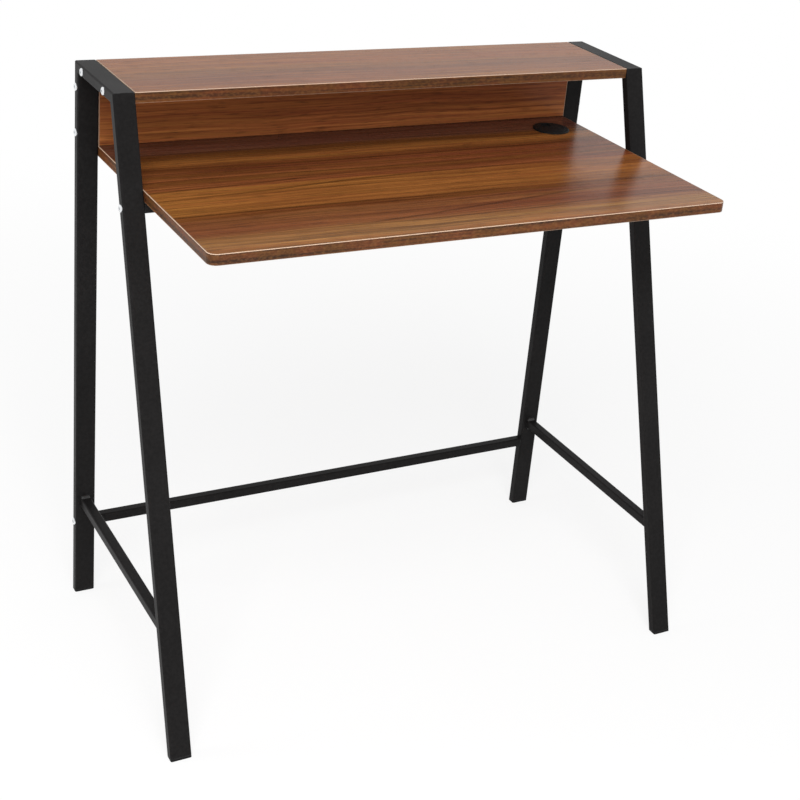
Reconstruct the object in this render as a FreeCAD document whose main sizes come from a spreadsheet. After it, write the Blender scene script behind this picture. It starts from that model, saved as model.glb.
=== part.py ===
import FreeCAD, Part
import math
import os
import re
import Sketcher

# Computer desk: two welded side frames of rectangular tube carry a desktop, a raised shelf and a
# back board. Millimetres, +X right, +Y to the back, +Z up, origin on the floor at the middle of
# the footprint.

DRIVING_SIZES = (
    ("overall_width", 840, "across the outer faces of the side frames"),
    ("overall_depth", 450, "front of the front feet to the back of the rear legs"),
    ("overall_height", 850, "floor to the top of the frames and the shelf"),
    ("top_bar_length", 165, "depth of the side frame at its top"),
    ("tube_wide", 30, "frame tube, side that faces front and back"),
    ("tube_deep", 15, "frame tube, side that faces outwards"),
    ("tube_wall", 1.2, "frame tube wall"),
    ("tube_corner", 2.5, "frame tube outer corner radius"),
    ("rail_side", 15, "square tube of the stretchers and the front rail"),
    ("rail_wall", 1.2, "square tube wall"),
    ("rail_corner", 2.5, "square tube outer corner radius"),
    ("side_stretcher_height", 161, "floor to the middle of the side stretchers"),
    ("rear_stretcher_height", 125, "floor to the middle of the rear cross stretcher"),
    ("weld_size", 4, "leg length of the weld beads"),
    ("plug_flange", 3, "thickness of the end plug under the tube"),
    ("plug_spigot", 14, "length of the end plug inside the tube"),
    ("plug_clearance", 0.2, "end plug to the inside of the tube"),
    ("compartment_height", 105, "desktop's upper face to the underside of the shelf"),
    ("desktop_setback", 9, "desktop front edge behind the front feet"),
    ("desktop_corner", 12, "radius of the desktop's front corners"),
    ("board_thick", 15, "thickness of the three boards"),
    ("band_thick", 1.2, "thickness of the edge band"),
    ("band_arris", 0.6, "rounding of the band's outer arrises"),
    ("bolt_shank", 6, "frame bolt shank diameter"),
    ("bolt_head", 11, "frame bolt head diameter"),
    ("bolt_head_height", 2.2, "frame bolt head height"),
    ("bolt_dome", 1.6, "rounding of the bolt head"),
    ("bolt_socket", 4, "hexagon socket across its flats"),
    ("bolt_socket_depth", 1.4, "hexagon socket depth"),
    ("bolt_tip", 3, "bolt end past the barrel nut or the insert"),
    ("bolt_clearance", 0.5, "bolt shank to a drilled hole, radial"),
    ("thread_clearance", 0.05, "thread stand-in, radial"),
    ("shelf_bolt_inset", 34, "rear shelf bolt from the back of the frame"),
    ("shelf_bolt_front", 38, "front shelf bolt from the front of the top bar"),
    ("back_bolt_spacing", 65, "between the two back board bolts of a side"),
    ("barrel_nut_width", 10, "barrel nut diameter"),
    ("barrel_nut_cover", 3, "board left over the end of a barrel nut"),
    ("barrel_nut_inset", 25, "barrel nut axis from the end of its board"),
    ("nut_slot_width", 1.8, "turning slot in the open end of a barrel nut"),
    ("nut_slot_depth", 1.4, "depth of that slot"),
    ("insert_length", 20, "threaded insert in the end of a square tube"),
    ("insert_clearance", 0.1, "threaded insert to the inside of the tube"),
    ("rail_screw_shank", 4, "screw from the front rail into the desktop"),
    ("rail_screw_head", 8, "its head diameter"),
    ("rail_screw_head_height", 2.4, "its head height"),
    ("rail_screw_bite", 11, "its length in the desktop"),
    ("rail_screw_inset", 140, "outer rail screws from the end of the rail"),
    ("board_screw_shank", 5, "screw from the desktop into the back board"),
    ("board_screw_head", 9, "its head diameter"),
    ("board_screw_head_height", 3, "its head height"),
    ("board_screw_bite", 32, "its length in the back board"),
    ("board_screw_inset", 90, "outer board screws from the end of the back board"),
    ("screw_clearance", 0.4, "screw shank and head to a drilled hole, radial"),
    ("recess_span", 4.4, "cross recess in a screw head, tip to tip"),
    ("recess_width", 1.2, "width of one arm of that recess"),
    ("recess_depth", 1.5, "depth of that recess"),
    ("grommet_hole", 50, "cable hole in the desktop"),
    ("grommet_from_side", 63, "cable hole axis from the desktop's right end"),
    ("grommet_from_back", 60, "cable hole axis from the back board"),
    ("grommet_lap", 4, "grommet flange beyond the edge of the cable hole"),
    ("grommet_flange_thick", 2.5, "grommet flange above the desktop"),
    ("grommet_lip", 1.4, "rounding of the flange"),
    ("grommet_wall", 1.5, "grommet sleeve wall"),
    ("grommet_depth", 18, "grommet sleeve below the desktop's upper face"),
    ("grommet_clearance", 0.15, "grommet sleeve to the cable hole, radial"),
    ("ledge_width", 2.3, "ledge in the sleeve that carries the cap"),
    ("ledge_thick", 1.6, "thickness of that ledge"),
    ("ledge_drop", 0.5, "ledge below the desktop's upper face"),
    ("cap_clearance", 0.3, "cap to the liner, all round"),
    ("cap_lip", 0.6, "rounding of the cap's upper edges"),
    ("cap_skirt_depth", 8, "cap skirt below the desktop's upper face"),
    ("cap_skirt_wall", 1.5, "cap skirt wall"),
    ("notch_width", 14, "cable notch in the cap"),
    ("notch_length", 13, "cable notch from the rim inwards"),
)

SCREWS_IN_A_ROW = 3
SIDES = (("left", -1), ("right", 1))
NEAR = 1e-4

document = FreeCAD.newDocument("computer_desk")
sheet = document.addObject("Spreadsheet::Sheet", "sizes")
for row, (alias, value, note) in enumerate(DRIVING_SIZES, start=1):
    sheet.set(f"A{row}", alias)
    sheet.set(f"B{row}", str(value))
    sheet.set(f"C{row}", note)
    sheet.setAlias(f"B{row}", alias)
document.recompute()

ALIASES = {alias for alias, value, note in DRIVING_SIZES}
sub_parts = []


def bound(words):
    """An expression in alias words, as the document writes it."""
    return re.sub(r"[a-z_]+", lambda m: f"sizes.{m[0]}" if m[0] in ALIASES else m[0], str(words))


def number(words):
    """The value of an expression at the present sizes."""
    return float(sheet.evalExpression(bound(words)))


# Places that several pieces share, worked out from the driving sizes
REAR_FACE = "overall_depth / 2"
TOP_FRONT = f"({REAR_FACE} - top_bar_length)"
LEAN = "((overall_depth - top_bar_length) / overall_height)"
SLANT = f"sqrt(1 + {LEAN} ^ 2)"
LEG_RUN = f"(tube_deep * {SLANT})"
REAR_LEG_FRONT = f"({REAR_FACE} - tube_deep)"
REAR_AXIS = f"({REAR_FACE} - tube_deep / 2)"
FRAME_X = "((overall_width - tube_wide) / 2)"
INNER_X = "(overall_width / 2 - tube_wide)"
CLEAR_WIDTH = "(overall_width - 2 * tube_wide)"
MITRE_LOW = "(overall_height - tube_deep)"
SHELF_LOW = "(overall_height - board_thick)"
DESK_TOP = f"({SHELF_LOW} - compartment_height)"
DESK_LOW = f"({DESK_TOP} - board_thick)"
DESK_FRONT = f"(desktop_setback - {REAR_FACE})"
BACK_MIDDLE = f"({DESK_TOP} + compartment_height / 2)"
BACK_OF_BOARD = f"({REAR_AXIS} + board_thick / 2)"


def leg_front(height):
    """Y of the front leg's front face at a height."""
    return f"({LEAN} * ({height}) - {REAR_FACE})"


def leg_back(height):
    """Y of the front leg's back face at a height."""
    return f"({leg_front(height)} + {LEG_RUN})"


FRONT_RAIL_Z = f"({DESK_LOW} - rail_side / 2)"
FRONT_RAIL_Y = f"({leg_front(FRONT_RAIL_Z)} + {LEG_RUN} / 2)"

# Bolts, screws and their holes
BOLT_HOLE = "(bolt_shank + 2 * bolt_clearance)"
THREAD_HOLE = "(bolt_shank + 2 * thread_clearance)"
BARREL_HOLE = "(barrel_nut_width + 2 * thread_clearance)"
BARREL_LENGTH = "(board_thick - barrel_nut_cover)"
BARREL_X = f"({INNER_X} - barrel_nut_inset)"
BOARD_BOLT_REACH = "(barrel_nut_inset + barrel_nut_width / 2 + bolt_tip)"
RAIL_BOLT_REACH = "(insert_length + bolt_tip)"
SHELF_BOLT_Z = "(overall_height - tube_deep / 2)"
SHELF_BOLT_ROWS = (f"({TOP_FRONT} + shelf_bolt_front)", f"({REAR_FACE} - shelf_bolt_inset)")
SHELF_BOLT_PITCH = "(top_bar_length - shelf_bolt_front - shelf_bolt_inset)"
BACK_BOLT_LEVELS = (f"({BACK_MIDDLE} - back_bolt_spacing / 2)", f"({BACK_MIDDLE} + back_bolt_spacing / 2)")
RAIL_SCREW_PITCH = f"({INNER_X} - rail_screw_inset)"
BOARD_SCREW_PITCH = f"({INNER_X} - board_screw_inset)"

# The grommet
GROMMET_PLACE = (f"({INNER_X} - grommet_from_side)", f"({REAR_AXIS} - board_thick / 2 - grommet_from_back)")
SLEEVE_OUT = "(grommet_hole / 2 - grommet_clearance)"
SLEEVE_IN = f"({SLEEVE_OUT} - grommet_wall)"
LEDGE_IN = f"({SLEEVE_IN} - ledge_width)"


def new_body(label, x="0", y="0", z="0"):
    """A body that stands at a bound place."""
    body = document.addObject("PartDesign::Body", label)
    body.Label = label
    for axis, place in zip("xyz", (x, y, z)):
        body.setExpression(f"Placement.Base.{axis}", bound(place))
    sub_parts.append(body)
    return body


def origin_feature(body, role):
    """One of a body's own planes or axes."""
    return next(item for item in body.Origin.OriginFeatures if item.Role == role)


def new_sketch(body, plane, offset="0"):
    """A sketch on one of the body's own planes, moved along that plane's normal."""
    sketch = body.newObject("Sketcher::SketchObject", "sketch")
    sketch.AttachmentSupport = [(origin_feature(body, plane), "")]
    sketch.MapMode = "FlatFace"
    sketch.setExpression("AttachmentOffset.Base.z", bound(offset))
    return sketch


def pin_point(sketch, geometry, position, point):
    """Ties one point of a sketch to two bound coordinates."""
    for kind, words in zip(("DistanceX", "DistanceY"), point):
        constraint = Sketcher.Constraint(kind, -1, 1, geometry, position, number(words))
        index = sketch.addConstraint(constraint)
        sketch.setExpression(f"Constraints[{index}]", bound(words))


def add_outline(sketch, points):
    """A closed outline of straight lines through bound points."""
    first = sketch.GeometryCount
    places = [FreeCAD.Vector(number(u), number(v), 0) for u, v in points]
    count = len(points)
    for here, there in zip(places, places[1:] + places[:1]):
        sketch.addGeometry(Part.LineSegment(here, there))
    for step in range(count):
        after = first + (step + 1) % count
        sketch.addConstraint(Sketcher.Constraint("Coincident", first + step, 2, after, 1))
    for step, point in enumerate(points):
        pin_point(sketch, first + step, 1, point)


def add_circles(sketch, points, diameter):
    """Circles of one bound diameter at bound points."""
    for point in points:
        middle = FreeCAD.Vector(number(point[0]), number(point[1]), 0)
        circle = Part.Circle(middle, FreeCAD.Vector(0, 0, 1), number(diameter) / 2)
        geometry = sketch.addGeometry(circle)
        pin_point(sketch, geometry, 3, point)
        constraint = Sketcher.Constraint("Diameter", geometry, number(diameter))
        index = sketch.addConstraint(constraint)
        sketch.setExpression(f"Constraints[{index}]", bound(diameter))


def pad(body, sketch, length, symmetric=True):
    """Raises a sketch to a bound length."""
    feature = body.newObject("PartDesign::Pad", "pad")
    feature.Profile = sketch
    feature.SideType = "Symmetric" if symmetric else "One side"
    feature.setExpression("Length", bound(length))
    document.recompute()


def pocket(body, sketch, depth, symmetric=False, reverse=False):
    """Cuts a sketch to a bound depth, and makes sure that it takes material away."""
    before = body.Shape.Volume
    feature = body.newObject("PartDesign::Pocket", "pocket")
    feature.Profile = sketch
    feature.SideType = "Symmetric" if symmetric else "One side"
    feature.Reversed = reverse
    feature.setExpression("Length", bound(depth))
    document.recompute()
    if not body.Shape.Volume < before:
        raise RuntimeError(f"a pocket of {body.Label} cuts nothing")
    return feature


def drill(body, plane, points, diameter, depth, offset="0", symmetric=False, reverse=False):
    """Round holes at bound points, cut from a plane of the body."""
    sketch = new_sketch(body, plane, offset)
    add_circles(sketch, points, diameter)
    return pocket(body, sketch, depth, symmetric, reverse)


def rectangle(sketch, low, high):
    """A rectangle between two bound corners."""
    add_outline(sketch, [low, (high[0], low[1]), high, (low[0], high[1])])


def round_edges(body, chosen, radius):
    """Rounds the edges of the body's tip that a test picks."""
    base = body.Tip
    # A second recompute settles the edge names, so that a later change of size finds the edges again
    for feature in body.Group:
        feature.touch()
    document.recompute()
    names = [f"Edge{n}" for n, edge in enumerate(base.Shape.Edges, start=1) if chosen(edge)]
    if not names:
        raise RuntimeError(f"{body.Label} has no edge to round")
    feature = body.newObject("PartDesign::Fillet", "round")
    feature.Base = (base, names)
    feature.setExpression("Radius", bound(radius))
    document.recompute()


def revolve(body, plane, axis, points):
    """Turns an outline once round an axis of its sketch."""
    sketch = new_sketch(body, plane)
    add_outline(sketch, points)
    feature = body.newObject("PartDesign::Revolution", "turned")
    feature.Profile = sketch
    feature.ReferenceAxis = (sketch, [axis])
    feature.Angle = 360
    document.recompute()


def repeat(body, axis, spacing, count=2):
    """Repeats all of a body along one of its axes."""
    feature = body.newObject("PartDesign::LinearPattern", "row")
    feature.TransformMode = "Whole shape"
    feature.Direction = (origin_feature(body, axis), [""])
    feature.Mode = "Spacing"
    feature.Occurrences = count
    feature.setExpression("Offset", bound(spacing))
    body.Tip = feature
    document.recompute()


def mirror_sides(body, originals=()):
    """Mirrors a body, or some of its features, from the left side to the right."""
    feature = body.newObject("PartDesign::Mirrored", "both_sides")
    if originals:
        feature.Originals = list(originals)
    else:
        feature.TransformMode = "Whole shape"
    feature.MirrorPlane = (origin_feature(body, "YZ_Plane"), [""])
    body.Tip = feature
    document.recompute()


def is_line(edge):
    """Whether an edge is straight."""
    return isinstance(edge.Curve, Part.Line)


def along(edge, direction):
    """Whether an edge is straight and runs in a direction."""
    return is_line(edge) and edge.tangentAt(edge.FirstParameter).cross(direction).Length < NEAR


def tube_between(label, outline, hollow, direction, width, wall, corner, x):
    """A rounded hollow tube whose two ends are cut as its side view shows."""
    body = new_body(label, x=x)
    outside = new_sketch(body, "YZ_Plane")
    add_outline(outside, outline)
    pad(body, outside, width)
    way = FreeCAD.Vector(0, number(direction[0]), number(direction[1])).normalize()
    round_edges(body, lambda edge: along(edge, way), corner)
    inside = new_sketch(body, "YZ_Plane")
    add_outline(inside, hollow)
    pocket(body, inside, f"{width} - 2 * {wall}", symmetric=True)
    return body


def cross_holes(body, points):
    """Bolt holes through both narrow sides of a frame tube."""
    drill(body, "YZ_Plane", points, BOLT_HOLE, "2 * tube_wide", symmetric=True)


def rear_leg(side, sign):
    """The upright leg, open at the bottom for its plug and mitred at the top."""
    top = "overall_height"
    above = "(overall_height + tube_deep)"
    outline = [(REAR_LEG_FRONT, "plug_flange"), (REAR_FACE, "plug_flange"), (REAR_FACE, top),
               (REAR_LEG_FRONT, MITRE_LOW)]
    front = f"{REAR_LEG_FRONT} + tube_wall"
    back = f"{REAR_FACE} - tube_wall"
    hollow = [(front, "0"), (back, "0"), (back, above), (front, above)]
    body = tube_between(f"{side}_rear_leg", outline, hollow, ("0", "1"), "tube_wide", "tube_wall",
                        "tube_corner", f"{sign} * {FRAME_X}")
    levels = BACK_BOLT_LEVELS + ("rear_stretcher_height",)
    cross_holes(body, [(REAR_AXIS, level) for level in levels])


def front_leg(side, sign):
    """The leaning leg, open at the bottom for its plug and mitred at the top."""
    top = "overall_height"
    above = "(overall_height + tube_deep)"
    skin = f"tube_wall * {SLANT}"
    outline = [(leg_front("plug_flange"), "plug_flange"), (leg_back("plug_flange"), "plug_flange"),
               (leg_back(MITRE_LOW), MITRE_LOW), (leg_front(top), top)]
    hollow = [(f"{leg_front('0')} + {skin}", "0"), (f"{leg_back('0')} - {skin}", "0"),
              (f"{leg_back(above)} - {skin}", above), (f"{leg_front(above)} + {skin}", above)]
    body = tube_between(f"{side}_front_leg", outline, hollow, (LEAN, "1"), "tube_wide", "tube_wall",
                        "tube_corner", f"{sign} * {FRAME_X}")
    cross_holes(body, [(FRONT_RAIL_Y, FRONT_RAIL_Z)])


def top_bar(side, sign):
    """The level bar between the two mitres."""
    top = "overall_height"
    outline = [(leg_back(MITRE_LOW), MITRE_LOW), (REAR_LEG_FRONT, MITRE_LOW), (REAR_FACE, top),
               (TOP_FRONT, top)]
    ahead = f"{TOP_FRONT} - tube_wide"
    behind = f"{REAR_FACE} + tube_wide"
    floor = f"{MITRE_LOW} + tube_wall"
    roof = f"{top} - tube_wall"
    hollow = [(ahead, floor), (behind, floor), (behind, roof), (ahead, roof)]
    body = tube_between(f"{side}_top_bar", outline, hollow, ("1", "0"), "tube_wide", "tube_wall",
                        "tube_corner", f"{sign} * {FRAME_X}")
    cross_holes(body, [(row, SHELF_BOLT_Z) for row in SHELF_BOLT_ROWS])


def side_stretcher(side, sign):
    """The square tube between the legs of a side frame, cut to the front leg's slant."""
    low = "(side_stretcher_height - rail_side / 2)"
    high = "(side_stretcher_height + rail_side / 2)"
    outline = [(leg_back(low), low), (REAR_LEG_FRONT, low), (REAR_LEG_FRONT, high), (leg_back(high), high)]
    ahead = f"{leg_back(low)} - tube_deep"
    behind = f"{REAR_LEG_FRONT} + tube_deep"
    floor = f"{low} + rail_wall"
    roof = f"{high} - rail_wall"
    hollow = [(ahead, floor), (behind, floor), (behind, roof), (ahead, roof)]
    tube_between(f"{side}_side_stretcher", outline, hollow, ("1", "0"), "rail_side", "rail_wall",
                 "rail_corner", f"{sign} * {FRAME_X}")


def weld_beads(side, sign):
    """Beads above and below both ends of a side stretcher."""
    body = new_body(f"{side}_weld_beads", x=f"{sign} * {FRAME_X}")
    sketch = new_sketch(body, "YZ_Plane")
    for up in (1, -1):
        face = f"(side_stretcher_height + {up} * rail_side / 2)"
        tip = f"({face} + {up} * weld_size)"
        add_outline(sketch, [(REAR_LEG_FRONT, face), (f"{REAR_LEG_FRONT} - weld_size", face),
                             (REAR_LEG_FRONT, tip)])
        add_outline(sketch, [(leg_back(face), face), (f"{leg_back(face)} + weld_size", face),
                             (leg_back(tip), tip)])
    pad(body, sketch, "rail_side - 2 * rail_corner")


def foot_plug(label, sign, front, back, direction, skin):
    """An end plug: a flange under the tube and a spigot inside it."""
    body = new_body(label, x=f"{sign} * {FRAME_X}")
    flange = new_sketch(body, "YZ_Plane")
    seat = "plug_flange"
    tip = "(plug_flange + plug_spigot)"
    add_outline(flange, [(front("0"), "0"), (back("0"), "0"), (back(seat), seat), (front(seat), seat)])
    pad(body, flange, "tube_wide")
    way = FreeCAD.Vector(0, number(direction[0]), number(direction[1])).normalize()
    round_edges(body, lambda edge: along(edge, way), "tube_corner")
    spigot = new_sketch(body, "YZ_Plane")
    add_outline(spigot, [(f"{front(seat)} + {skin}", seat), (f"{back(seat)} - {skin}", seat),
                         (f"{back(tip)} - {skin}", tip), (f"{front(tip)} + {skin}", tip)])
    pad(body, spigot, "tube_wide - 2 * (tube_wall + plug_clearance)")


def cross_tube(label, y, z, screw_holes=False):
    """A square tube from one side frame to the other."""
    body = new_body(label, y=y, z=z)
    outside = new_sketch(body, "YZ_Plane")
    half = "rail_side / 2"
    rectangle(outside, (f"-{half}", f"-{half}"), (half, half))
    pad(body, outside, CLEAR_WIDTH)
    round_edges(body, lambda edge: along(edge, FreeCAD.Vector(1, 0, 0)), "rail_corner")
    inside = new_sketch(body, "YZ_Plane")
    core = "(rail_side / 2 - rail_wall)"
    rectangle(inside, (f"-{core}", f"-{core}"), (core, core))
    pocket(body, inside, CLEAR_WIDTH, symmetric=True)
    if screw_holes:
        drill(body, "XY_Plane", row_of_screws(RAIL_SCREW_PITCH), "rail_screw_shank + 2 * screw_clearance",
              "2 * rail_side", symmetric=True)


def row_of_screws(pitch, across="0"):
    """Bound points of an evenly spaced row along X, about the middle."""
    first = -(SCREWS_IN_A_ROW - 1) / 2
    return [(f"{first + step} * {pitch}", across) for step in range(SCREWS_IN_A_ROW)]


def board_outline(sketch, half, low, high, corner=None):
    """A board's outline, symmetric about X, with its two front corners rounded if a radius is given."""
    if corner is None:
        rectangle(sketch, (f"-({half})", low), (half, high))
        return
    bend = f"({low} + {corner})"
    stop = f"({half} - ({corner}))"
    left = f"-({half})"
    places = [(f"-{stop}", low), (stop, low), (half, bend), (half, high), (left, high), (left, bend)]
    points = [FreeCAD.Vector(number(u), number(v), 0) for u, v in places]
    radius = number(corner)
    quarter = math.pi / 2
    lines = {0: sketch.addGeometry(Part.LineSegment(points[0], points[1]))}
    for start in (2, 3, 4):
        lines[start] = sketch.addGeometry(Part.LineSegment(points[start], points[start + 1]))
    for start, end in ((2, 3), (3, 4)):
        sketch.addConstraint(Sketcher.Constraint("Coincident", lines[start], 2, lines[end], 1))
    for start in lines:
        pin_point(sketch, lines[start], 1, places[start])
    pin_point(sketch, lines[0], 2, places[1])
    pin_point(sketch, lines[4], 2, places[5])
    for turn, side, before, after in ((-quarter, stop, 0, 2), (-2 * quarter, f"-{stop}", 4, 0)):
        middle = FreeCAD.Vector(number(side), number(bend), 0)
        circle = Part.Circle(middle, FreeCAD.Vector(0, 0, 1), radius)
        arc = sketch.addGeometry(Part.ArcOfCircle(circle, turn, turn + quarter))
        sketch.addConstraint(Sketcher.Constraint("Coincident", lines[before], 2, arc, 1))
        sketch.addConstraint(Sketcher.Constraint("Coincident", lines[after], 1, arc, 2))
        index = sketch.addConstraint(Sketcher.Constraint("Radius", arc, radius))
        sketch.setExpression(f"Constraints[{index}]", bound(corner))


def board_and_band(name, plane, half, low, high, places, corner=None):
    """A board's core and the band round its four edges, each about the board's middle plane."""
    inset = "band_thick"
    inner_corner = corner and f"({corner} - {inset})"
    inner = (f"({half} - {inset})", f"({low} + {inset})", f"({high} - {inset})", inner_corner)
    core = new_body(f"{name}_board", *places)
    sketch = new_sketch(core, plane)
    board_outline(sketch, *inner)
    pad(core, sketch, "board_thick")
    band = new_body(f"{name}_edge_band", *places)
    outside = new_sketch(band, plane)
    board_outline(outside, half, low, high, corner)
    pad(band, outside, "board_thick")
    normal = {"XY_Plane": 2, "XZ_Plane": 1}[plane]
    thick = number("board_thick") / 2
    round_edges(band, lambda edge: abs(abs(edge.CenterOfMass[normal]) - thick) < NEAR, "band_arris")
    inside = new_sketch(band, plane)
    board_outline(inside, *inner)
    pocket(band, inside, "2 * board_thick", symmetric=True)
    return core, band


def drill_ends(pieces, points, depth):
    """Bolt holes into both ends of a board, through its band."""
    for body in pieces:
        holes = drill(body, "YZ_Plane", points, BOLT_HOLE, depth, offset=f"-{INNER_X}", reverse=True)
        mirror_sides(body, [holes])


def drill_nut_holes(core, plane, rows):
    """Blind round holes for the barrel nuts, at both ends of a board."""
    points = [(f"{sign} * {BARREL_X}", row) for side, sign in SIDES for row in rows]
    drill(core, plane, points, BARREL_HOLE, BARREL_LENGTH, offset="-board_thick / 2", reverse=True)


def desktop():
    """The desktop, with the cable hole and the holes of the screws from below."""
    middle = f"{DESK_LOW} + board_thick / 2"
    under = "-board_thick / 2"
    core = board_and_band("desktop", "XY_Plane", INNER_X, DESK_FRONT, REAR_FACE, ("0", "0", middle),
                          "desktop_corner")[0]
    drill(core, "XY_Plane", [GROMMET_PLACE], "grommet_hole", "2 * board_thick", symmetric=True)
    rail_screws = row_of_screws(RAIL_SCREW_PITCH, FRONT_RAIL_Y)
    drill(core, "XY_Plane", rail_screws, "rail_screw_shank + 2 * thread_clearance",
          "rail_screw_bite + thread_clearance", offset=under, reverse=True)
    board_screws = row_of_screws(BOARD_SCREW_PITCH, REAR_AXIS)
    drill(core, "XY_Plane", board_screws, "board_screw_shank + 2 * screw_clearance", "2 * board_thick",
          symmetric=True)
    drill(core, "XY_Plane", board_screws, "board_screw_head + 2 * screw_clearance", "board_screw_head_height",
          offset=under, reverse=True)


def shelf():
    """The raised shelf between the top bars."""
    middle = f"{SHELF_LOW} + board_thick / 2"
    core, band = board_and_band("shelf", "XY_Plane", INNER_X, TOP_FRONT, REAR_FACE, ("0", "0", middle))
    level = f"{SHELF_BOLT_Z} - ({middle})"
    drill_ends((core, band), [(row, level) for row in SHELF_BOLT_ROWS], BOARD_BOLT_REACH)
    drill_nut_holes(core, "XY_Plane", SHELF_BOLT_ROWS)


def back_board():
    """The board between the rear legs, standing on the desktop."""
    bottom = "-compartment_height / 2"
    core, band = board_and_band("back", "XZ_Plane", INNER_X, bottom, "compartment_height / 2",
                                ("0", REAR_AXIS, BACK_MIDDLE))
    levels = ("-back_bolt_spacing / 2", "back_bolt_spacing / 2")
    drill_ends((core, band), [("0", level) for level in levels], BOARD_BOLT_REACH)
    drill_nut_holes(core, "XZ_Plane", levels)
    for body in (core, band):
        drill(body, "XY_Plane", row_of_screws(BOARD_SCREW_PITCH), "board_screw_shank + 2 * thread_clearance",
              "board_screw_bite + thread_clearance", offset=bottom, reverse=True)


def bolt_group(label, y, z, reach, axis=None, pitch=None):
    """Domed socket bolts through both side frames, heads on the outer faces."""
    body = new_body(label, y=y, z=z)
    seat = "overall_width / 2"
    top = f"({seat} + bolt_head_height)"
    end = f"tube_wide + {reach} - {seat}"
    revolve(body, "XY_Plane", "H_Axis", [
        (f"-{top}", "0"), (f"-{top}", "bolt_head / 2"), (f"-{seat}", "bolt_head / 2"),
        (f"-{seat}", "bolt_shank / 2"), (end, "bolt_shank / 2"), (end, "0")])
    crown = -number(top)
    round_edges(body, lambda edge: not is_line(edge) and abs(edge.CenterOfMass.x - crown) < NEAR, "bolt_dome")
    socket = new_sketch(body, "YZ_Plane", offset=f"-{top}")
    tip = "(bolt_socket / sqrt(3))"
    half_tip = f"{tip} / 2"
    flat = "bolt_socket / 2"
    add_outline(socket, [(tip, "0"), (half_tip, flat), (f"-{half_tip}", flat), (f"-{tip}", "0"),
                         (f"-{half_tip}", f"-{flat}"), (half_tip, f"-{flat}")])
    pocket(body, socket, "bolt_socket_depth", reverse=True)
    if axis:
        repeat(body, axis, pitch)
    mirror_sides(body)


def barrel_nuts(label, plane, places, bolt_place, axis, pitch):
    """Round cross nuts in a board, threaded across for the bolts of both sides."""
    body = new_body(label, *places)
    sketch = new_sketch(body, plane)
    add_circles(sketch, [(f"-{BARREL_X}", "0")], "barrel_nut_width")
    pad(body, sketch, BARREL_LENGTH, symmetric=False)
    slot = new_sketch(body, plane)
    half = "nut_slot_width / 2"
    start = f"-({BARREL_X} + barrel_nut_width)"
    rectangle(slot, (start, f"-{half}"), (f"barrel_nut_width - {BARREL_X}", half))
    pocket(body, slot, "nut_slot_depth", reverse=True)
    drill(body, "YZ_Plane", [bolt_place], THREAD_HOLE, CLEAR_WIDTH, symmetric=True)
    repeat(body, axis, pitch)
    mirror_sides(body)


def end_inserts(label, y, z):
    """Threaded blocks inside both ends of a square tube."""
    body = new_body(label, y=y, z=z)
    core = "(rail_side / 2 - rail_wall - insert_clearance)"
    sketch = new_sketch(body, "YZ_Plane", offset=f"-{INNER_X}")
    rectangle(sketch, (f"-{core}", f"-{core}"), (core, core))
    pad(body, sketch, "insert_length", symmetric=False)
    drill(body, "YZ_Plane", [("0", "0")], THREAD_HOLE, CLEAR_WIDTH, symmetric=True)
    mirror_sides(body)


def screw_row(kind, label, y, head_top, length, pitch):
    """A row of screws of one kind driven upwards, each with its head's upper face at a height."""
    body = new_body(label, x=f"-(({SCREWS_IN_A_ROW} - 1) / 2 * {pitch})", y=y, z=head_top)
    shank = f"{kind}_shank / 2"
    head = f"{kind}_head / 2"
    bottom = f"-{kind}_head_height"
    revolve(body, "XZ_Plane", "V_Axis", [
        ("0", bottom), (head, bottom), (head, "0"), (shank, "0"), (shank, length), ("0", length)])
    recess = new_sketch(body, "XY_Plane", offset=bottom)
    tip = "recess_span / 2"
    side = "recess_width / 2"
    add_outline(recess, [
        (tip, f"-{side}"), (tip, side), (side, side), (side, tip), (f"-{side}", tip), (f"-{side}", side),
        (f"-{tip}", side), (f"-{tip}", f"-{side}"), (f"-{side}", f"-{side}"), (f"-{side}", f"-{tip}"),
        (side, f"-{tip}"), (side, f"-{side}")])
    pocket(body, recess, "recess_depth", reverse=True)
    repeat(body, "X_Axis", pitch, SCREWS_IN_A_ROW)


def grommet_liner():
    """A flanged sleeve in the cable hole, with a ledge inside for the cap."""
    body = new_body("grommet_liner", *GROMMET_PLACE, DESK_TOP)
    rim = "(grommet_hole / 2 + grommet_lap)"
    lip = "grommet_flange_thick"
    foot = "-grommet_depth"
    seat = "-ledge_drop"
    under = "-(ledge_drop + ledge_thick)"
    revolve(body, "XZ_Plane", "V_Axis", [
        (SLEEVE_IN, lip), (rim, lip), (rim, "0"), (SLEEVE_OUT, "0"), (SLEEVE_OUT, foot), (SLEEVE_IN, foot),
        (SLEEVE_IN, under), (LEDGE_IN, under), (LEDGE_IN, seat), (SLEEVE_IN, seat)])
    height = number(lip)
    radius = number(rim)

    def outer_rim(edge):
        """The circle round the upper face of the flange."""
        if is_line(edge) or abs(edge.Curve.Radius - radius) > NEAR:
            return False
        return edge.CenterOfMass.z > height - NEAR
    round_edges(body, outer_rim, "grommet_lip")


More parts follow.
